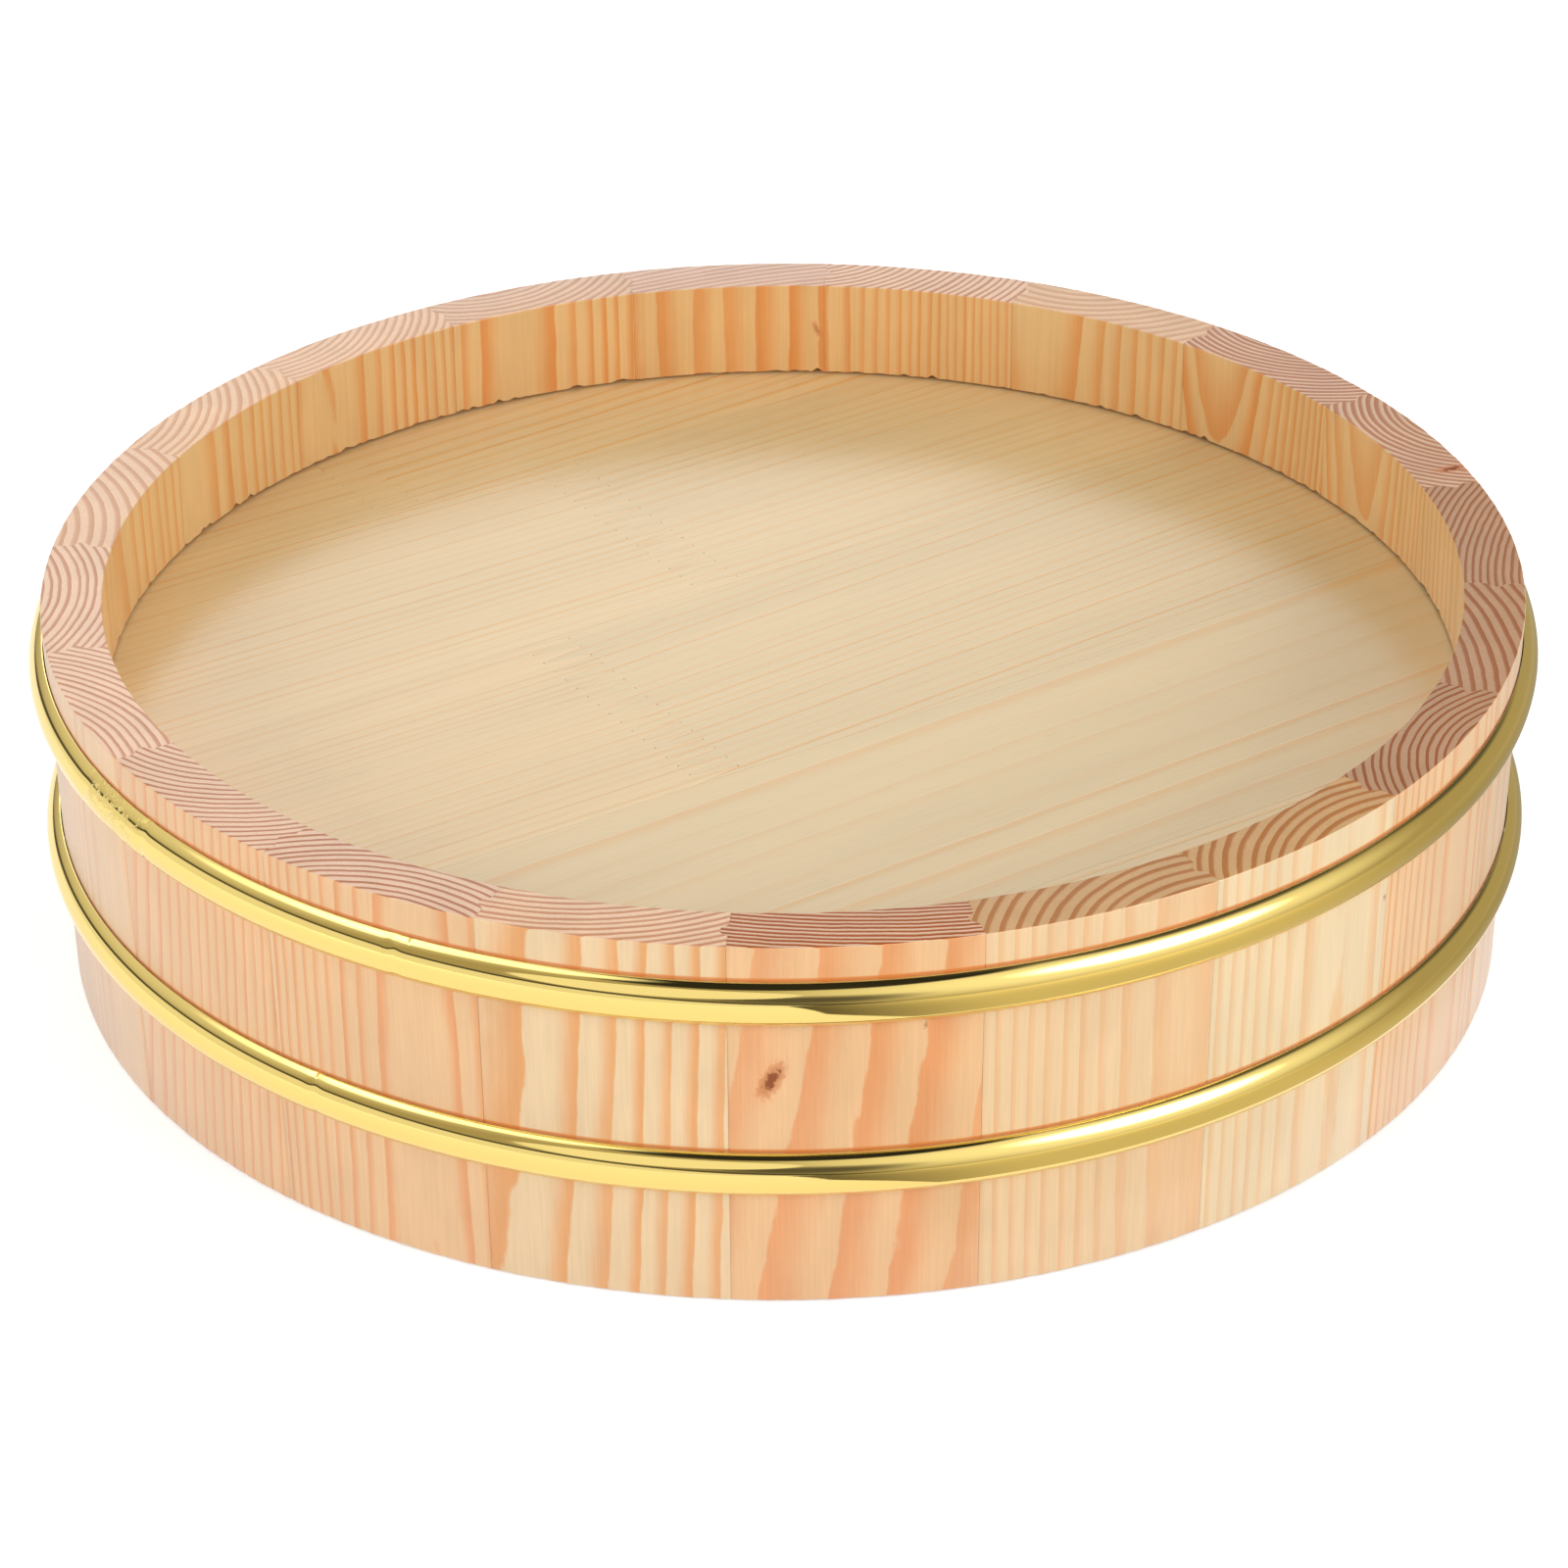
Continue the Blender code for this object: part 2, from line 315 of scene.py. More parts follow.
def store(mesh, name, values):
    """Keeps a vector on every point of a mesh for its material; one vector serves for all points."""
    layer = mesh.attributes.new(name, "FLOAT_VECTOR", "POINT")
    spread = np.broadcast_to(np.asarray(values, np.float32), (len(mesh.vertices), 3))
    layer.data.foreach_set("vector", np.ascontiguousarray(spread).ravel())


# Staves

def edge_point(radius, side, inset):
    """Plan point at a radius, set in from a stave's left (side -1) or right (side 1) edge."""
    edge = side * STAVE_ANGLE / 2
    along = math.sqrt(radius ** 2 - inset ** 2)
    x, y = plan_point(along, edge)
    return x - side * inset * math.cos(edge), y - side * inset * math.sin(edge)


def joint_points(side):
    """Plan points of the tongue (side -1) or the groove (side 1), from the inside outwards."""
    inner = INNER_RADIUS + HOUSING_DEPTH + TONGUE_SHOULDER
    outer = BASE_RADIUS - TONGUE_SHOULDER
    slope = (outer - inner - TONGUE_TIP) / 2
    root = JOINT_GAP / 2
    tip = root + side * TONGUE_DEPTH
    places = [(inner, root), (inner + slope, tip), (outer - slope, tip), (outer, root)]
    return [edge_point(radius, side, inset) for radius, inset in places]


def face_angles(radius):
    """Angles across a stave's face, closer together where its edges are eased."""
    margin = math.asin(JOINT_GAP / 2 / radius)
    reach = STAVE_ANGLE / 2 - margin
    ease = 2 * JOINT_EASE / radius
    inner = np.linspace(-reach + ease, reach - ease, STAVE_STEPS)
    return [-reach, *inner, reach]


def rounded_edge(draw):
    """Distances short of a stave's end and insets from its face, from the face to the end."""
    size = EDGE_ROUND * draw.uniform(*ROUND_SPREAD)
    turns = [math.pi / 2 * step / ROUND_STEPS for step in range(ROUND_STEPS + 1)]
    return [(size * (1 - math.sin(turn)), size * (1 - math.cos(turn))) for turn in turns]


def outer_profile(draw):
    """Radii and heights up the outer face."""
    edge = rounded_edge(draw)
    places = edge[::-1] + [(TUB_HEIGHT - short, inset) for short, inset in edge]
    return [(wall_radius(height) - inset, height) for height, inset in places]


def inner_profile(draw):
    """Radii and heights up the inner face, round the housing of the floor, with a chipped lip."""
    edge = rounded_edge(draw)
    chip = draw.expovariate(1 / CHIP_DEPTH) if draw.random() < CHIP_SHARE else 0.0
    low, high = FLOOR_BOTTOM - LIP_GAP, FLOOR_TOP + LIP_GAP
    places = edge[::-1]
    places += [(low, 0.0), (low, HOUSING_DEPTH), (high, HOUSING_DEPTH), (high + min(chip, CHIP_LIMIT), 0.0)]
    places += [(TUB_HEIGHT - short, inset) for short, inset in edge]
    return [(INNER_RADIUS + inset, height) for height, inset in places]


def stave_mesh(name, draw):
    points, faces = [], []

    def column(places):
        first = len(points)
        points.extend(places)
        return list(range(first, len(points)))

    def upright(plan):
        return column([(*plan, 0.0), (*plan, TUB_HEIGHT)])

    def face_columns(radius, profile, inwards):
        angles = face_angles(radius)
        eases = [JOINT_EASE] + [0.0] * STAVE_STEPS + [JOINT_EASE]
        return [column([(*plan_point(place + inwards * ease, angle), height)
                        for place, height in profile(draw)])
                for angle, ease in zip(angles, eases)]

    outside = face_columns(RIM_RADIUS, outer_profile, -1)
    inside = face_columns(INNER_RADIUS, inner_profile, 1)
    tongue = [upright(plan) for plan in joint_points(-1)]
    groove = [upright(plan) for plan in joint_points(1)]

    for side in (outside, inside):
        for left, right in zip(side, side[1:]):
            for low in range(len(left) - 1):
                faces.append([left[low], right[low], right[low + 1], left[low + 1]])
    for joint, inner, outer in ((tongue, inside[0], outside[0]), (groove, inside[-1], outside[-1])):
        for near, far in zip(joint, joint[1:]):
            faces.append([near[0], far[0], far[1], near[1]])
        faces.append(inner + [joint[0][1], joint[0][0]])
        faces.append(outer + [joint[-1][1], joint[-1][0]])
    around = outside + groove[::-1] + inside[::-1] + tongue
    faces.append([place[0] for place in around])
    faces.append([place[-1] for place in around])
    return make_mesh(name, points, faces)


def add_staves(finish):
    draw = random.Random(STAVE_SEED)
    taper = (RIM_RADIUS - BASE_RADIUS) / TUB_HEIGHT
    for number, wood in enumerate(STAVES, start=1):
        name = f"stave_{number:02d}"
        mesh = stave_mesh(f"{name}_wood", draw)
        points = np.array([vertex.co for vertex in mesh.vertices])
        side_lean = 0 if wood.lean else draw.uniform(-SIDE_LEAN, SIDE_LEAN)
        across, out, up, size = metres(*KNOTS.get(number, NO_KNOT))
        store(mesh, "wood", np.stack([points[:, 0], -points[:, 1] - INNER_RADIUS, points[:, 2]], axis=1))
        store(mesh, "pith", metres(wood.across, wood.out, 0))
        store(mesh, "rings", (wood.ring / 1000, wood.phase, number))
        store(mesh, "lean", (side_lean, wood.lean + taper, 0))
        store(mesh, "tone", (wood.peach, wood.late, wood.width))
        store(mesh, "ends", (wood.pink, wood.dark, wood.light))
        store(mesh, "knot", (across, out, up))
        store(mesh, "knot_size", (size, size, size))
        turn = FIRST_JOINT + (number - 0.5) * STAVE_ANGLE
        dress(f"{name}_wood", mesh, name, finish, turn)


# Floor boards

def glue_lines():
    back = PANEL_RADIUS - EDGE_BOARD_WIDTH
    return [back * (1 - 2 * line / MIDDLE_BOARDS) for line in range(MIDDLE_BOARDS + 1)]


def finger_line(place, low, high, last):
    """Zigzag across a board, as (along, across) points from its low edge up to its high edge."""
    half = FINGER_LENGTH / 2
    flat = FINGER_TIP / 2
    line = [(place - half, low)]
    for finger in range(int((last - low) / FINGER_PITCH)):
        start = low + finger * FINGER_PITCH
        middle = start + FINGER_PITCH / 2
        line += [(place - half, start + flat), (place + half, middle - flat),
                 (place + half, middle + flat), (place - half, start + FINGER_PITCH - flat)]
    return line + [(place - half, high)]


def arc_line(start, end):
    """Points on the panel's round outline between two points on it, the short way round."""
    first = math.atan2(start[1], start[0])
    turn = (math.atan2(end[1], end[0]) - first + math.pi) % (2 * math.pi) - math.pi
    steps = max(2, math.ceil(abs(turn) / PANEL_STEP))
    angles = [first + turn * step / steps for step in range(steps + 1)]
    return [(PANEL_RADIUS * math.cos(angle), PANEL_RADIUS * math.sin(angle)) for angle in angles]


def on_side(across, side):
    """Point on the panel's outline at the left (side -1) or right (side 1) end of a line."""
    reach = max(PANEL_RADIUS ** 2 - across ** 2, 0.0)
    return side * math.sqrt(reach), across


def on_back(along):
    """Point on the back half of the panel's outline."""
    return along, math.sqrt(PANEL_RADIUS ** 2 - along ** 2)


def board_outlines():
    """Each floor piece's name with its outline as (along, across) points."""
    lines = [PANEL_RADIUS] + glue_lines() + [-PANEL_RADIUS]
    for number, (back, front) in enumerate(zip(lines, lines[1:]), start=1):
        low, high = front + JOINT_GAP / 2, back - JOINT_GAP / 2
        name = f"floor_board_{number}"
        left = arc_line(on_side(low, -1), on_side(high, -1))
        right = arc_line(on_side(low, 1), on_side(high, 1))
        if number not in FINGER_JOINTS:
            yield name, left + right[::-1]
            continue
        joint = FINGER_JOINTS[number]
        arc_height = math.sqrt(PANEL_RADIUS ** 2 - (abs(joint) + FINGER_LENGTH) ** 2)
        line = finger_line(joint, low, high, min(high, arc_height - FINGER_PITCH))
        moved = [(along + FINGER_GAP, across) for along, across in line]
        if number == 1:
            line[-1] = on_back(line[-1][0])
            moved[-1] = on_back(moved[-1][0])
            left = arc_line(on_side(low, -1), line[-1])[:-1]
            right = arc_line(on_side(low, 1), moved[-1])[:-1]
        yield name + "a", left + line[::-1]
        yield name + "b", moved + right[::-1]


def add_floor(finish):
    draw = random.Random(FLOOR_SEED)
    for name, outline in board_outlines():
        wood = FLOOR_WOOD[name]
        count = len(outline)
        points = [(x, y, z) for z in (FLOOR_BOTTOM, FLOOR_TOP) for x, y in outline]
        faces = [[i, (i + 1) % count, (i + 1) % count + count, i + count] for i in range(count)]
        faces += [list(range(count)), list(range(count, 2 * count))]
        mesh = make_mesh(f"{name}_wood", points, faces)
        places = np.array(points)
        store(mesh, "wood", np.stack([places[:, 1], places[:, 2] - FLOOR_TOP, places[:, 0]], axis=1))
        store(mesh, "pith", metres(wood.across, wood.up, 0))
        store(mesh, "rings", (wood.ring / 1000, 0, draw.uniform(*FLOOR_PATTERNS)))
        store(mesh, "lean", (wood.lean, 0, 0))
        store(mesh, "tone", (wood.peach, wood.late, FLOOR_LATE_WIDTH))
        dress(f"{name}_wood", mesh, name, finish, GRAIN_ANGLE)


# Hoops

def bow(half_height, depth, edge):
    """Round face between two rounded edges, as (out, rise) points from the upper edge to the lower."""
    radius = ((half_height - edge) ** 2 + depth ** 2 - edge ** 2) / (2 * (depth - edge))
    reach = math.atan2(half_height - edge, radius - depth)
    tops = [math.pi / 2 + (reach - math.pi / 2) * step / EDGE_STEPS for step in range(EDGE_STEPS)]
    rim = [(edge * math.cos(turn), half_height - edge + edge * math.sin(turn)) for turn in tops]
    turns = [reach * (1 - 2 * step / HOOP_STEPS) for step in range(HOOP_STEPS + 1)]
    face = [(radius * (math.cos(turn) - 1) + depth, radius * math.sin(turn)) for turn in turns]
    return rim + face + [(out, -rise) for out, rise in rim[::-1]]


def hoop_turns(dents):
    """Angles of a hoop's sections in degrees, closer together at its dents."""
    turns = {360 * step / HOOP_TURNS - 180 for step in range(HOOP_TURNS)}
    for place, spread, _ in dents:
        reach = DENT_REACH * spread
        turns |= set(np.arange(place - reach, place + reach, DENT_STEP))
    return sorted(turns)


def add_hoop(node, finish):
    low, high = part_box(node)
    middle, half = (low.z + high.z) / 2, (high.z - low.z) / 2
    deep = high.x - HOOP_SPARE - wall_radius(middle) - HOOP_GAP
    hollow = bow(half - HOOP_SHEET, deep - HOOP_SHEET, HOOP_EDGE / 2)
    shape = bow(half, deep, HOOP_EDGE) + hollow[::-1]
    section = [(wall_radius(middle + rise) + HOOP_GAP + out, middle + rise) for out, rise in shape]
    count = len(section)
    dents = HOOP_DENTS[node]
    turns = hoop_turns(dents)
    points, faces = [], []
    for step, turn in enumerate(turns):
        dent = sum(depth * math.exp(-((turn - place) / spread) ** 2) for place, spread, depth in dents)
        points += [(*plan_point(radius - dent, math.radians(turn)), height) for radius, height in section]
        here, there = step * count, (step + 1) % len(turns) * count
        for index in range(count):
            after = (index + 1) % count
            faces.append([here + index, here + after, there + after, there + index])
    dress(f"{node}_gold", make_mesh(f"{node}_gold", points, faces), node, finish)


# Materials

class Shader:
    """Adds nodes to a material or world and joins them; inputs are numbers, colours or sockets."""

    def __init__(self, owner):
        self.owner = owner
        owner.use_nodes = True
        self.tree = owner.node_tree

    def feed(self, socket, value):
        if isinstance(value, bpy.types.NodeSocket):
            self.tree.links.new(value, socket)
        else:
            socket.default_value = value

    def node(self, kind, inputs=(), **settings):
        made = self.tree.nodes.new(kind)
        for key, value in settings.items():
            setattr(made, key, value)
        for key, value in dict(inputs).items():
            self.feed(made.inputs[key], value)
        return made

    def math(self, operation, *values):
        return self.node("ShaderNodeMath", enumerate(values), operation=operation).outputs[0]

    def plus(self, first, second):
        return self.math("ADD", first, second)

    def minus(self, first, second):
        return self.math("SUBTRACT", first, second)

    def times(self, first, *others):
        for other in others:
            first = self.math("MULTIPLY", first, other)
        return first

    def vector(self, operation, *values):
        return self.node("ShaderNodeVectorMath", enumerate(values), operation=operation).outputs[0]

    def measure(self, operation, *values):
        """A number worked out from vectors."""
        made = self.node("ShaderNodeVectorMath", enumerate(values), operation=operation)
        return made.outputs["Value"]

    def attribute(self, name):
        return self.node("ShaderNodeAttribute", attribute_name=name).outputs["Vector"]

    def position(self):
        return self.node("ShaderNodeTexCoord").outputs["Object"]

    def around(self, position):
        """Angle round the tub from its front, in radians."""
        x, y = self.split(position)[:2]
        return self.math("ARCTAN2", x, self.times(y, -1.0))

    def split(self, vector):
        return self.node("ShaderNodeSeparateXYZ", {0: vector}).outputs

    def join(self, x, y, z):
        return self.node("ShaderNodeCombineXYZ", {0: x, 1: y, 2: z}).outputs[0]

    def noise(self, vector, detail=2.0, roughness=0.5):
        values = {"Vector": vector, "Scale": 1.0, "Detail": detail, "Roughness": roughness}
        return self.node("ShaderNodeTexNoise", values).outputs["Fac"]

    def smooth(self, value, low, high, start=0.0, end=1.0):
        values = {0: value, 1: low, 2: high, 3: start, 4: end}
        made = self.node("ShaderNodeMapRange", values, interpolation_type="SMOOTHSTEP")
        return made.outputs[0]

    def mix(self, share, first, second, blend="MIX"):
        made = self.node("ShaderNodeMix", {0: share, 6: first, 7: second}, data_type="RGBA",
                         blend_type=blend)
        return made.outputs[2]

    def bump(self, height, depth):
        return self.node("ShaderNodeBump", {"Height": height, "Distance": depth}).outputs[0]

    def seen(self):
        """1 for a surface that is seen straight, mirrored or through glass, 0 where it only lights."""
        path = self.node("ShaderNodeLightPath").outputs
        indirect = self.math("MAXIMUM", path["Is Glossy Ray"], path["Is Transmission Ray"])
        return self.math("MAXIMUM", path["Is Camera Ray"], indirect)

    def shine(self, glow):
        """Makes the material a plain light."""
        light = self.node("ShaderNodeEmission", {"Color": glow})
        self.feed(self.tree.nodes["Material Output"].inputs["Surface"], light.outputs[0])
        self.tree.nodes.remove(self.tree.nodes["Principled BSDF"])

    def set(self, **inputs):
        """Feeds the material's own surface, whose inputs are named in small letters."""
        surface = self.tree.nodes["Principled BSDF"]
        for key, value in inputs.items():
            self.feed(surface.inputs[key.replace("_", " ").title().replace("Ior", "IOR")], value)


class Wood(Shader):
    """Wood that follows the values kept on the points of each piece."""

    def __init__(self, name):
        super().__init__(bpy.data.materials.new(name))
        self.place = self.attribute("wood")
        self.ring, self.phase, self.seed = self.split(self.attribute("rings"))
        self.peach, self.strength, self.width = self.split(self.attribute("tone"))
        self.shift = self.join(self.seed, self.times(self.seed, 1.7), self.times(self.seed, 0.6))
        self.fibre = self.grain(1500, 28, detail=3, roughness=0.6)

    def grain(self, side, length, detail=2.0, roughness=0.5):
        """Noise in waves per metre across and along the grain, different in each piece."""
        waves = self.vector("MULTIPLY", self.place, (side, side, length))
        return self.noise(self.vector("ADD", waves, self.shift), detail, roughness)

    def knot_distance(self):
        """Distance from the piece's slanting knot in radii of that knot, with a ragged edge."""
        x, y, z = self.split(self.vector("SUBTRACT", self.place, self.attribute("knot")))
        offset = self.join(self.minus(x, self.times(z, 0.4)), self.times(y, 0.35), self.times(z, 0.5))
        distance = self.measure("LENGTH", self.vector("DIVIDE", offset, self.attribute("knot_size")))
        ragged = self.grain(1100, 700, detail=3, roughness=0.7)
        return self.plus(distance, self.times(ragged, 2.0))

    def late_wood(self, sway, evenness, swell=0.0):
        """Share of late wood, from rings about the piece's own pith that sway and swell by lengths."""
        along = self.split(self.place)[2]
        pith = self.vector("MULTIPLY_ADD", self.attribute("lean"), self.join(along, along, along),
                           self.attribute("pith"))
        across, out = self.split(self.vector("SUBTRACT", self.place, pith))[:2]
        reach = self.plus(self.measure("LENGTH", self.join(across, out, 0.0)), swell)
        for side, length, share in GRAIN_WAVES:
            wave = self.minus(self.grain(side, length), 0.5)
            reach = self.plus(reach, self.times(wave, sway * share))
        years = self.plus(self.math("DIVIDE", reach, self.ring), self.phase)
        uneven = self.noise(self.join(self.times(years, 0.45), self.seed, 0.0), detail=1)
        years = self.plus(years, self.times(uneven, 1.3 - evenness))
        year = self.join(self.math("FLOOR", years), self.seed, 0.0)
        weight = self.node("ShaderNodeTexWhiteNoise", {"Vector": year}, noise_dimensions="3D")
        season = self.math("FRACT", years)
        rising = self.smooth(season, self.minus(0.95, self.width), 0.9)
        falling = self.smooth(season, 1.0, 0.95)
        return self.times(rising, falling, self.smooth(weight.outputs["Value"], 0.0, 1.0, evenness, 1.0))

    def grain_bump(self, late, depth):
        """Bump of the fibre and of the late wood, which stands proud."""
        return self.bump(self.plus(self.times(self.fibre, 0.5), self.times(late, 0.5)), depth)


def stave_side(wood, late, inside):
    """Colour along the grain, deeper on the inner face."""
    early = wood.mix(wood.peach, CREAM_EARLY, PEACH_EARLY)
    band = wood.mix(wood.peach, CREAM_LATE, PEACH_LATE)
    side = wood.mix(wood.times(late, wood.strength), early, band)
    return wood.mix(inside, side, wood.mix(1.0, side, INNER_TINT, "MULTIPLY"))


def stave_end(wood, late, pink, dark):
    """Colour of the end grain, with its pores."""
    pale = wood.mix(pink, TAN_EARLY, PINK_EARLY)
    deep = wood.mix(pink, TAN_LATE, PINK_LATE)
    end = wood.mix(wood.times(wood.smooth(late, 0.0, 0.45), dark), pale, deep)
    pores = wood.grain(2600, 300)
    return wood.mix(wood.smooth(pores, 0.35, 0.75, 0.0, 0.15), end, PORE)


def stave_tone_and_painted_rim_light(wood, paint, ends, light):
    """Varies the colour with the fibre and in patches, and paints each stave's end grain lighter or darker,
    as painted light and sheen on the rim; darker end grain is painted warmer too.
    """
    level = wood.times(wood.smooth(wood.fibre, 0.25, 0.75, 0.95, 1.03),
                       wood.smooth(wood.grain(90, 40), 0.3, 0.7, 0.96, 1.03),
                       wood.smooth(ends, 0.0, 1.0, 1.0, light))
    # painted warmth: end grain painted darker, where less of the white sheen falls, is made warmer
    painted_rim_cool = wood.smooth(ends, 0.0, 1.0, 1.0, wood.smooth(light, 0.6, 0.9, 0.88, 1.0))
    painted_rim_cool = wood.times(level, painted_rim_cool)
    return wood.mix(1.0, paint, wood.join(level, painted_rim_cool, painted_rim_cool), "MULTIPLY")


def flecks(wood, ends):
    """Share of the sparse brown flecks on the staves' faces."""
    position = wood.position()
    torn = wood.node("ShaderNodeTexNoise", {"Vector": position, "Scale": 900.0}).outputs["Color"]
    position = wood.vector("ADD", wood.vector("MULTIPLY", position, (70, 70, 45)),
                           wood.vector("MULTIPLY", torn, (0.08, 0.08, 0.08)))
    cells = wood.node("ShaderNodeTexVoronoi", {"Vector": position, "Scale": 1.0}).outputs
    chosen = wood.math("GREATER_THAN", wood.split(cells["Color"])[0], 0.75)
    spot = wood.smooth(cells["Distance"], 0.055, 0.02, 0.0, 0.7)
    return wood.times(chosen, spot, wood.minus(1.0, ends))


def stave_marks(wood, paint, knot, ends):
    """Adds the knots and the flecks."""
    paint = wood.mix(wood.smooth(knot, 0.0, 0.5, 0.0, 0.6), paint, KNOT_EDGE)
    paint = wood.mix(wood.smooth(knot, 0.6, 1.0, 0.0, 0.8), paint, KNOT_HEART)
    return wood.mix(flecks(wood, ends), paint, FLECK)


def paint_hoop_glow(wood, paint, up, outside):
    """Paints a glow above each hoop: the warm light that the gold reflects onto the wood."""
    for hoop in HOOPS:
        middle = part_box(hoop)[1].z + PAINTED_GLOW_HEIGHT / 2
        distance = wood.math("ABSOLUTE", wood.minus(up, middle))
        glow = wood.smooth(distance, PAINTED_GLOW_HEIGHT, PAINTED_GLOW_HEIGHT / 4, 0.0, 0.85)
        paint = wood.mix(wood.times(outside, glow), paint, PAINTED_HOOP_GLOW)
    return paint


def stave_pine():
    wood = Wood("stave_pine_wood")
    pink, dark, light = wood.split(wood.attribute("ends"))
    out, up = wood.split(wood.place)[1:3]
    knot_distance = wood.knot_distance()
    knot = wood.smooth(knot_distance, 3.0, 1.2)
    swell = wood.smooth(knot_distance, 0.6, 4.0, KNOT_SWELL, 0.0)
    late = wood.late_wood(STAVE_SWAY, STAVE_EVENNESS, swell)
    inside = wood.smooth(out, 0.006, 0.001)
    normal = wood.split(wood.node("ShaderNodeNewGeometry").outputs["Normal"])
    ends = wood.smooth(wood.math("ABSOLUTE", normal[2]), 0.55, 0.85)
    outside = wood.times(wood.minus(1.0, inside), wood.minus(1.0, ends))
    paint = wood.mix(ends, stave_side(wood, late, inside), stave_end(wood, late, pink, dark))
    # each stave's end grain is painted lighter or darker, standing in for the light and sheen on the rim
    paint = stave_tone_and_painted_rim_light(wood, paint, ends, light)
    paint = stave_marks(wood, paint, knot, ends)
    # painted glow of warm light reflected from the hoops onto the wood
    paint = paint_hoop_glow(wood, paint, up, outside)
    gloss = wood.smooth(ends, 0.0, 1.0, 0.6, wood.smooth(light, 0.92, 1.12, 0.15, 0.75))
    dull = wood.math("MAXIMUM", knot, wood.times(late, ends))
    wood.set(base_color=paint, roughness=wood.smooth(ends, 0.0, 1.0, 0.30, 0.50),
             specular_ior_level=wood.times(gloss, wood.smooth(dull, 0.0, 1.0, 1.0, 0.2)),
             normal=wood.grain_bump(late, STAVE_BUMP), sheen_roughness=0.5, sheen_tint=WOOD_SHEEN,
             sheen_weight=wood.times(outside, wood.smooth(knot, 0.0, 1.0, 0.5, 0.0)))
    return wood.owner


def floor_pine():
    wood = Wood("floor_pine_wood")
    late = wood.late_wood(FLOOR_SWAY, FLOOR_EVENNESS)
    early = wood.mix(wood.peach, FLOOR_STRAW, FLOOR_PEACH)
    paint = wood.mix(wood.times(late, wood.strength), early, FLOOR_LATE)
    dashes = wood.grain(2200, 90, detail=1)
    level = wood.times(wood.smooth(wood.fibre, 0.25, 0.75, 0.97, 1.02),
                       wood.smooth(dashes, 0.62, 0.74, 1.0, 0.93),
                       wood.smooth(wood.grain(45, 7), 0.3, 0.7, 0.96, 1.03))
    paint = wood.mix(1.0, paint, wood.join(level, level, level), "MULTIPLY")
    wood.set(base_color=paint, roughness=0.23, normal=wood.grain_bump(late, FLOOR_BUMP))
    return wood.owner


def gold_plate():
    shader = Shader(bpy.data.materials.new("gold_plate_polished"))
    position = shader.position()
    smear = shader.noise(shader.vector("MULTIPLY", position, (40, 40, 400)), detail=3)
    scratches = shader.noise(shader.vector("MULTIPLY", position, (500, 500, 900)), detail=4, roughness=0.7)
    around = shader.around(position)
    start, end = (math.radians(angle) for angle in SCUFFED)
    low, high = (TUB_HEIGHT * share for share in SCUFF_RISE)
    scratches = shader.times(shader.smooth(scratches, 0.5, 0.65),
                             shader.smooth(around, start, start + SCUFF_FADE),
                             shader.smooth(around, end, end - SCUFF_FADE),
                             shader.smooth(shader.split(position)[2], low, high))
    shader.set(base_color=GOLD, metallic=1.0, roughness=shader.smooth(smear, 0.3, 0.8, 0.05, 0.10),
               normal=shader.bump(scratches, SCRATCH_BUMP))
    return shader.owner


# Studio

def stage_white():
    """White floor: its own shade keeps the tub's shadow, and what is seen of it is lifted to white."""
    shader = Shader(bpy.data.materials.new("studio_white"))
    shader.set(base_color=SHEET_WHITE, roughness=0.9, emission_color=WHITE,
               emission_strength=shader.times(shader.seen(), SHEET_LIFT))
    return shader.owner


def add_floor_sheet():
    corners = [(x * SHEET_REACH, y * SHEET_REACH, 0) for x, y in ((-1, -1), (1, -1), (1, 1), (-1, 1))]
    mesh = make_mesh("studio_floor", corners, [[0, 1, 2, 3]])
    mesh.materials.append(stage_white())
    floor = add_object("studio_floor", mesh)
    floor.location.z = -SHEET_DROP


def add_mirrored(name, mesh, finish):
    """Adds a piece of the studio that shows only in mirrored light."""
    mesh.materials.append(finish)
    piece = add_object(name, mesh)
    piece.visible_camera = False
    piece.visible_diffuse = False
    piece.visible_shadow = False


def direction(around, rise):
    """Unit vector at an angle around the tub from its front, to the right, and an angle of rise."""
    turn, lift = math.radians(around), math.radians(rise)
    return (*plan_point(math.cos(lift), turn), math.sin(lift))


def add_dome():
    """The studio as the metal and the sheen of the wood mirror it: white card, soft boxes, dark gaps."""
    shader = Shader(bpy.data.materials.new("studio_dome"))
    towards = shader.vector("NORMALIZE", shader.position())
    glow = ROOM_GLOW
    for around, rise, inner, outer, strength in DOME:
        near = shader.measure("DOT_PRODUCT", towards, direction(around, rise))
        share = shader.smooth(near, math.cos(math.radians(outer)), math.cos(math.radians(inner)))
        glow = shader.mix(share, glow, (strength, strength, strength, 1.0))
    shader.shine(glow)
    work = bmesh.new()
    bmesh.ops.create_uvsphere(work, u_segments=DOME_TURNS, v_segments=DOME_RISES, radius=DOME_RADIUS)
    buried = [vert for vert in work.verts if vert.co.z < DOME_FOOT]
    bmesh.ops.delete(work, geom=buried, context="VERTS")
    mesh = bpy.data.meshes.new("studio_dome")
    work.to_mesh(mesh)
    work.free()
    add_mirrored("studio_dome", mesh, shader.owner)


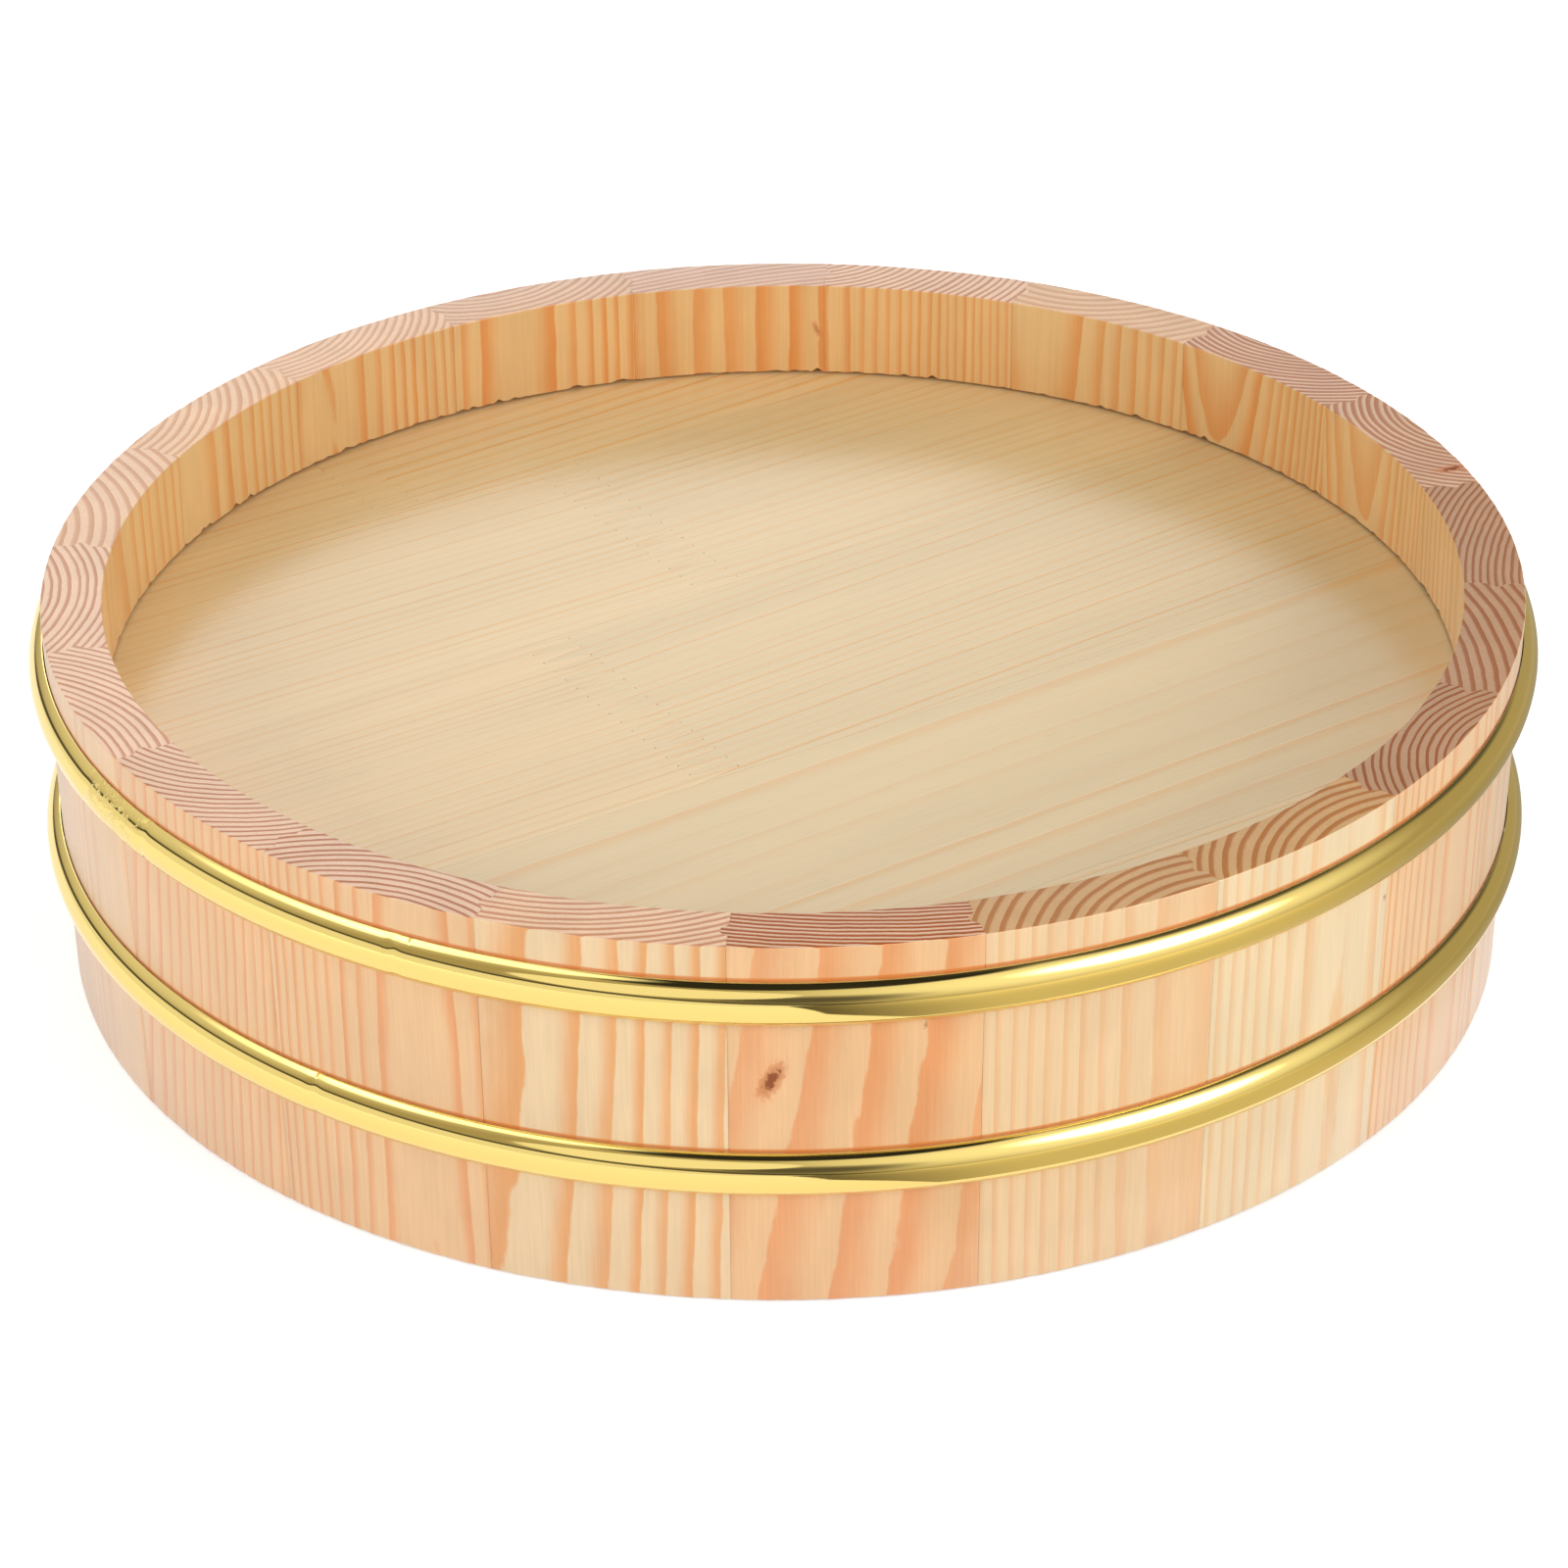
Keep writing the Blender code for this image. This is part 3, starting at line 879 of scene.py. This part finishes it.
def painted_card_glow():
    """Painted glow of the card, standing in for the light on it: dark along the left edge, brighter far
    from the tub and less so at the right.
    """
    shader = Shader(bpy.data.materials.new("studio_card"))
    position = shader.position()
    around = shader.around(position)
    distance = shader.measure("LENGTH", shader.vector("MULTIPLY", position, (1, 1, 0)))
    beside = shader.math("ABSOLUTE", shader.minus(around, CARD_MIDDLE))
    shade = shader.times(shader.smooth(distance, 0.18, 0.7, 1.0, shader.smooth(beside, 0.9, 0.1, 1.2, 1.5)),
                         shader.smooth(around, 0.8, 1.6, 1.6, 0.9),
                         shader.smooth(around, -0.02, 0.42, 0.12, 1.0))
    shader.shine(shader.mix(1.0, ROOM_GLOW, shader.join(shade, shade, shade), "MULTIPLY"))
    return shader.owner


def add_side_card():
    """Dull card on the table at the right, as the hoops mirror it; its brightness is a painted glow."""
    points = [(*plan_point(radius, math.radians(angle)), CARD_HEIGHT)
              for radius, start in CARD_EDGE for angle in np.linspace(start, CARD_END, CARD_STEPS)]
    faces = []
    for row in range(len(CARD_EDGE) - 1):
        for near in range(row * CARD_STEPS, (row + 1) * CARD_STEPS - 1):
            far = near + CARD_STEPS
            faces.append([near, near + 1, far + 1, far])
    add_mirrored("studio_card", make_mesh("studio_card", points, faces), painted_card_glow())


def add_world():
    """Soft light from all sides, which is white where it is seen."""
    world = bpy.data.worlds.new("studio_air")
    bpy.context.scene.world = world
    air = Shader(world)
    light = air.tree.nodes["Background"]
    air.feed(light.inputs["Color"], WHITE)
    air.feed(light.inputs["Strength"], AIR_STRENGTH)
    white = air.node("ShaderNodeBackground", {"Color": WHITE})
    pick = air.node("ShaderNodeMixShader", {0: air.seen(), 1: light.outputs[0], 2: white.outputs[0]})
    air.feed(air.tree.nodes["World Output"].inputs["Surface"], pick.outputs[0])


def add_lamp(name, place, side, power):
    data = bpy.data.lights.new(name, "AREA")
    data.size = side
    data.energy = power
    lamp = add_object(name, data)
    lamp.location = place
    lamp.visible_glossy = False
    lamp.rotation_euler = (Vector(LAMP_TARGET) - Vector(place)).to_track_quat("-Z", "Y").to_euler()


def add_camera():
    data = bpy.data.cameras.new("photo_camera")
    data.lens = LENS
    camera = add_object("photo_camera", data)
    away = CAMERA_DISTANCE * math.cos(CAMERA_RISE)
    camera.location = (0.0, -away, TUB_HEIGHT + CAMERA_DISTANCE * math.sin(CAMERA_RISE))
    tilt = Matrix.Rotation(math.pi / 2 - CAMERA_PITCH, 3, "X")
    camera.rotation_euler = (tilt @ Matrix.Rotation(CAMERA_ROLL, 3, "Z")).to_euler()
    bpy.context.scene.camera = camera


add_camera()
add_staves(stave_pine())
add_floor(floor_pine())
gold = gold_plate()
for hoop in HOOPS:
    add_hoop(hoop, gold)
add_floor_sheet()
add_dome()
add_side_card()
add_world()
for name, lamp in LAMPS.items():
    add_lamp(name, *lamp)
bpy.context.scene.view_settings.view_transform = "Standard"
